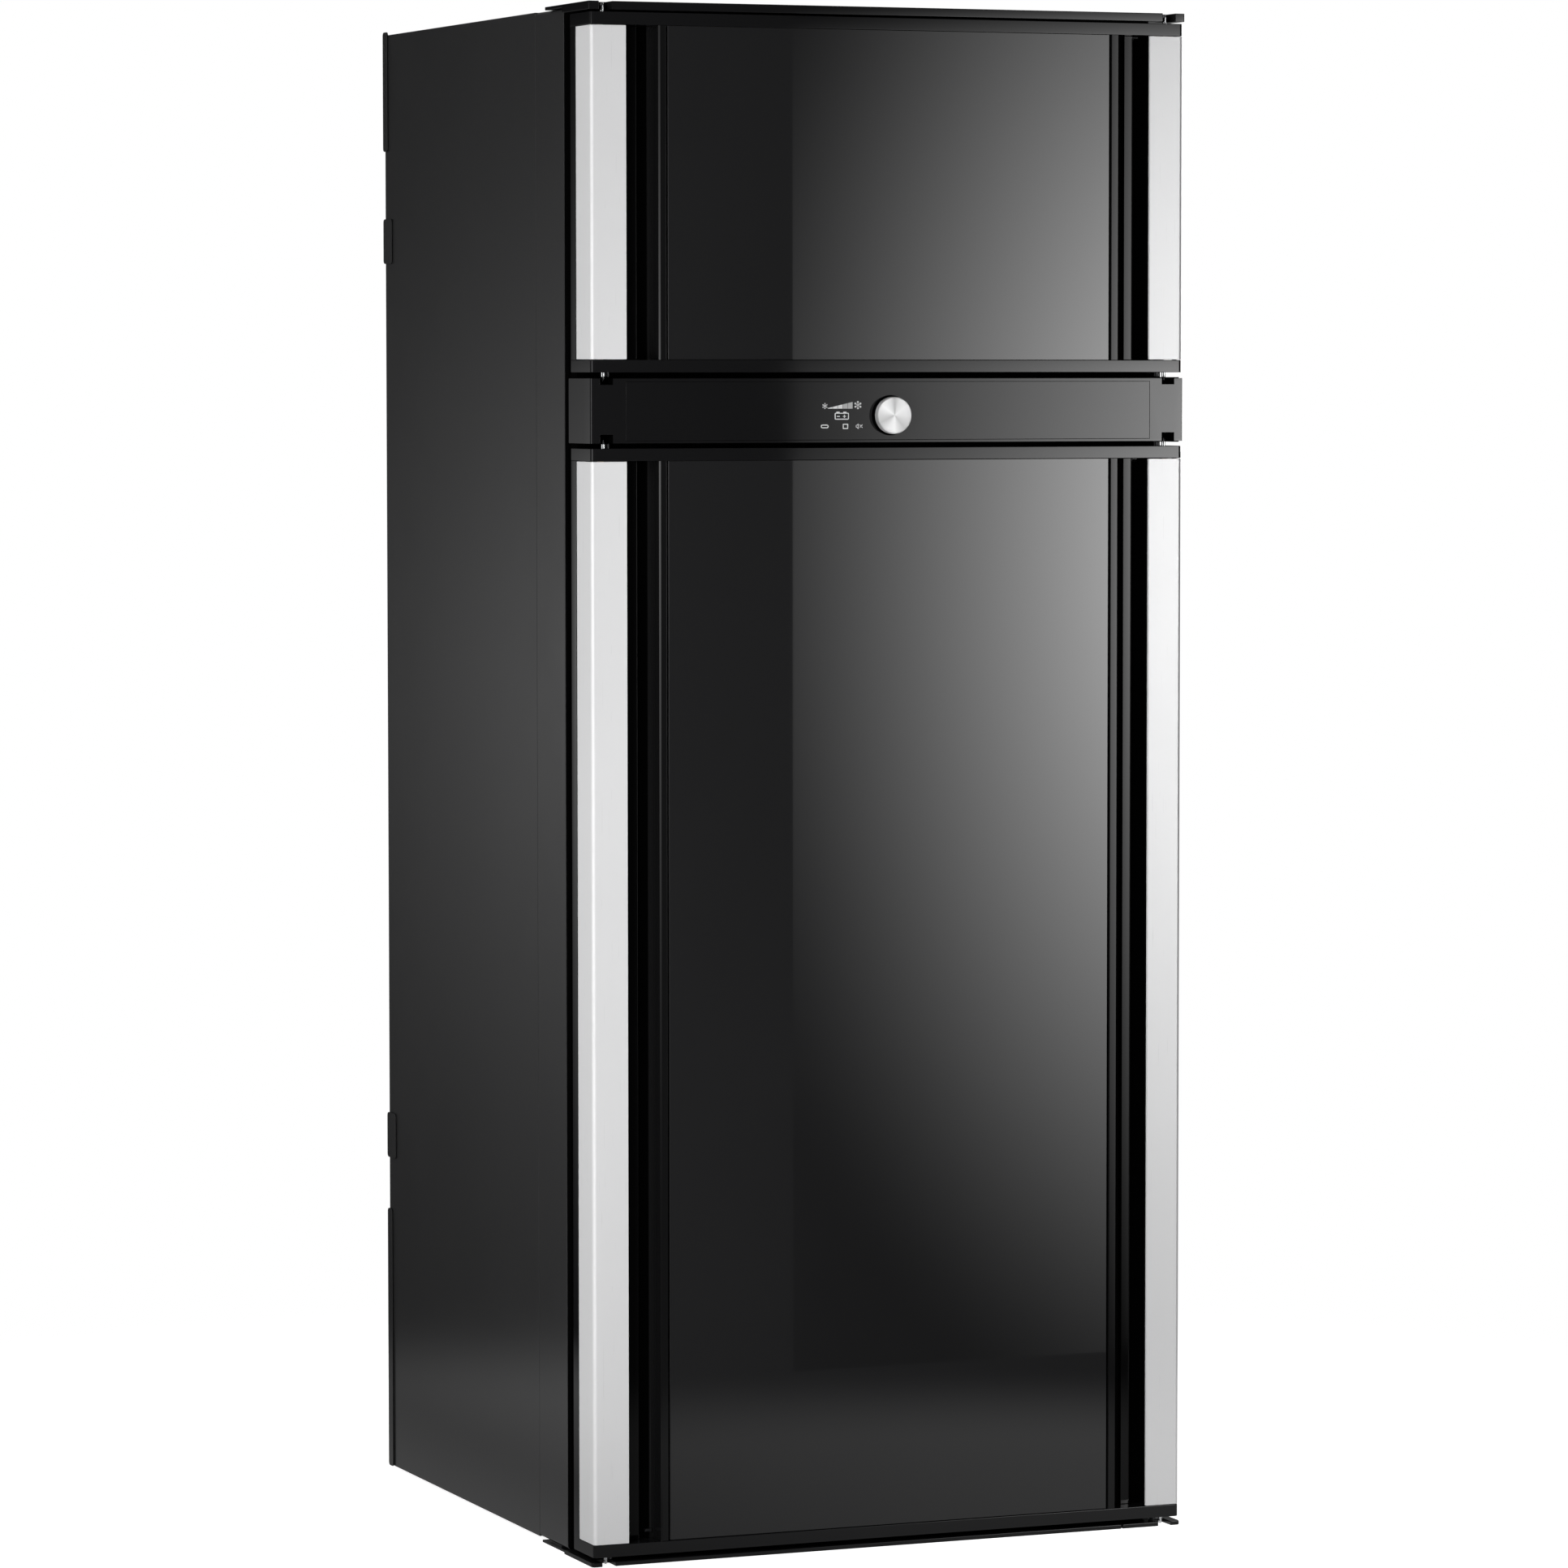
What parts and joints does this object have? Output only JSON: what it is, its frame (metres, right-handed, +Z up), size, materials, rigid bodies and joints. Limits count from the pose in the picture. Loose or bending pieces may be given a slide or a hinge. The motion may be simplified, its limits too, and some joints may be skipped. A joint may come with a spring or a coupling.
{
  "type": "top freezer refrigerator",
  "caption": "Tall built-in leisure refrigerator with a freezer door above a fridge door, full-height side handles, corner pins that open each door from either side, and a rail knob.",
  "frame": {"origin": "on the floor of the niche, under the middle of the whole object's box", "axes": "+Z up, -Y out of the doors towards the user, +X to the right of a user facing the doors"},
  "size_m": [0.519, 0.557, 1.245],
  "materials": {
    "steel_sheet": "satin",
    "black_plastic": "fine grain",
    "gloss_black": "high gloss",
    "satin_aluminium": "satin anodised",
    "white_plastic": "smooth",
    "insulation": "foam",
    "gasket_rubber": "matte",
    "bright_steel": "polished",
    "galvanised_steel": "galvanised",
    "shelf_glass": "clear",
    "clear_plastic": "clear",
    "evaporator_aluminium": "plain",
    "copper": "bare",
    "black_steel": "semi-gloss",
    "black_fan_plastic": "plain",
    "silver_plastic": "satin silver",
    "circuit_board": "solder mask",
    "terminal_plastic": "plain",
    "foot_rubber": "matte"
  },
  "bodies": {
    "cabinet": {"outer_wrapper": "steel_sheet", "back_panel": "galvanised_steel", "front_frame": "black_plastic", "foam_body": "insulation", "freezer_liner": "white_plastic", "fridge_liner": "white_plastic", "middle_rail": "black_plastic", "control_fascia": "gloss_black", "control_board": "circuit_board", "top_hinge_strip": "black_plastic", "bottom_hinge_strip": "black_plastic", "side_screw_bushings": "black_plastic", "rear_edge_clips": "black_plastic", "floor_clips": "black_plastic", "rear_feet": "foot_rubber", "freezer_evaporator": "evaporator_aluminium", "freezer_shelf": "white_plastic", "fridge_evaporator": "evaporator_aluminium", "glass_shelves": "shelf_glass", "shelf_trims": "silver_plastic", "interior_lamp": "clear_plastic", "base_tray": "galvanised_steel", "compressor": "black_steel", "compressor_grommets": "foot_rubber", "controller_box": "black_fan_plastic", "condenser": "galvanised_steel", "fan_shroud": "black_fan_plastic", "filter_dryer": "copper", "refrigerant_tubes": "copper", "terminal_block": "terminal_plastic", "drain_spout": "white_plastic"},
    "knob_carrier": {"encoder_shaft": "bright_steel"},
    "knob": {"control_knob": "silver_plastic"},
    "fan": {"fan_impeller": "black_fan_plastic"},
    "drawer": {"crisper_drawer": "clear_plastic"},
    "freezer_right_pin_carrier": {"freezer_right_pins": "bright_steel"},
    "freezer_door": {"freezer_door_frame": "black_plastic", "freezer_door_core": "insulation", "freezer_door_liner": "white_plastic", "freezer_door_gasket": "gasket_rubber", "freezer_front_panel": "gloss_black", "freezer_recess_profiles": "black_plastic", "freezer_left_pins": "bright_steel"},
    "freezer_left_handle": {"freezer_left_handle": "satin_aluminium"},
    "freezer_left_latch": {"freezer_left_latch": "bright_steel"},
    "freezer_right_handle": {"freezer_right_handle": "satin_aluminium"},
    "freezer_right_latch": {"freezer_right_latch": "bright_steel"},
    "fridge_right_pin_carrier": {"fridge_right_pins": "bright_steel"},
    "fridge_door": {"fridge_door_frame": "black_plastic", "fridge_door_core": "insulation", "fridge_door_liner": "white_plastic", "fridge_door_gasket": "gasket_rubber", "fridge_front_panel": "gloss_black", "fridge_recess_profiles": "black_plastic", "fridge_left_pins": "bright_steel", "fridge_door_bins": "clear_plastic"},
    "fridge_left_handle": {"fridge_left_handle": "satin_aluminium"},
    "fridge_left_latch": {"fridge_left_latch": "bright_steel"},
    "fridge_right_handle": {"fridge_right_handle": "satin_aluminium"},
    "fridge_right_latch": {"fridge_right_latch": "bright_steel"}
  },
  "joints": [
    {"name": "knob_push", "type": "slide", "parent": "cabinet", "child": "knob_carrier", "axis": [0, 1, 0], "range_m": [0, 0.0012], "stiffness_N_per_m": 1500},
    {"name": "knob_turn", "type": "hinge", "parent": "knob_carrier", "child": "knob", "pos_m": [-0.0015, -0.274, 0.9184], "axis": [0, 1, 0], "continuous": true},
    {"name": "fan_spin", "type": "hinge", "parent": "cabinet", "child": "fan", "pos_m": [0.097, 0.174, 0.112], "axis": [0, 1, 0], "continuous": true},
    {"name": "drawer_slide", "type": "slide", "parent": "cabinet", "child": "drawer", "axis": [0, -1, 0], "range_m": [0, 0.033]},
    {"name": "freezer_left_hinge", "type": "hinge", "parent": "cabinet", "child": "freezer_right_pin_carrier", "pos_m": [-0.2452, -0.261, 1.09], "axis": [0, 0, 1], "range_deg": [-110, 0]},
    {"name": "freezer_right_hinge", "type": "hinge", "parent": "freezer_right_pin_carrier", "child": "freezer_door", "pos_m": [0.2452, -0.261, 1.09], "axis": [0, 0, 1], "range_deg": [0, 110]},
    {"name": "freezer_left_handle_tilt", "type": "hinge", "parent": "freezer_door", "child": "freezer_left_handle", "pos_m": [-0.2535, -0.264, 1.09], "axis": [0, 0, 1], "range_deg": [-8, 0], "stiffness_Nm_per_rad": 0.5},
    {"name": "freezer_left_latch_turn", "type": "hinge", "parent": "freezer_door", "child": "freezer_left_latch", "pos_m": [-0.2403, -0.2565, 1.09], "axis": [0, 0, 1], "range_deg": [-13, 0]},
    {"name": "freezer_right_handle_tilt", "type": "hinge", "parent": "freezer_door", "child": "freezer_right_handle", "pos_m": [0.2535, -0.264, 1.09], "axis": [0, 0, 1], "range_deg": [0, 8], "stiffness_Nm_per_rad": 0.5},
    {"name": "freezer_right_latch_turn", "type": "hinge", "parent": "freezer_door", "child": "freezer_right_latch", "pos_m": [0.2403, -0.2565, 1.09], "axis": [0, 0, 1], "range_deg": [0, 13]},
    {"name": "fridge_left_hinge", "type": "hinge", "parent": "cabinet", "child": "fridge_right_pin_carrier", "pos_m": [-0.2452, -0.261, 0.45], "axis": [0, 0, 1], "range_deg": [-110, 0]},
    {"name": "fridge_right_hinge", "type": "hinge", "parent": "fridge_right_pin_carrier", "child": "fridge_door", "pos_m": [0.2452, -0.261, 0.45], "axis": [0, 0, 1], "range_deg": [0, 110]},
    {"name": "fridge_left_handle_tilt", "type": "hinge", "parent": "fridge_door", "child": "fridge_left_handle", "pos_m": [-0.2535, -0.264, 0.45], "axis": [0, 0, 1], "range_deg": [-8, 0], "stiffness_Nm_per_rad": 0.5},
    {"name": "fridge_left_latch_turn", "type": "hinge", "parent": "fridge_door", "child": "fridge_left_latch", "pos_m": [-0.2403, -0.2565, 0.45], "axis": [0, 0, 1], "range_deg": [-13, 0]},
    {"name": "fridge_right_handle_tilt", "type": "hinge", "parent": "fridge_door", "child": "fridge_right_handle", "pos_m": [0.2535, -0.264, 0.45], "axis": [0, 0, 1], "range_deg": [0, 8], "stiffness_Nm_per_rad": 0.5},
    {"name": "fridge_right_latch_turn", "type": "hinge", "parent": "fridge_door", "child": "fridge_right_latch", "pos_m": [0.2403, -0.2565, 0.45], "axis": [0, 0, 1], "range_deg": [0, 13]}
  ],
  "couplings": [
    {"joint": "freezer_left_latch_turn", "follows": "freezer_left_handle_tilt", "ratio": 1.6},
    {"joint": "freezer_right_latch_turn", "follows": "freezer_right_handle_tilt", "ratio": 1.6},
    {"joint": "fridge_left_latch_turn", "follows": "fridge_left_handle_tilt", "ratio": 1.6},
    {"joint": "fridge_right_latch_turn", "follows": "fridge_right_handle_tilt", "ratio": 1.6}
  ]
}
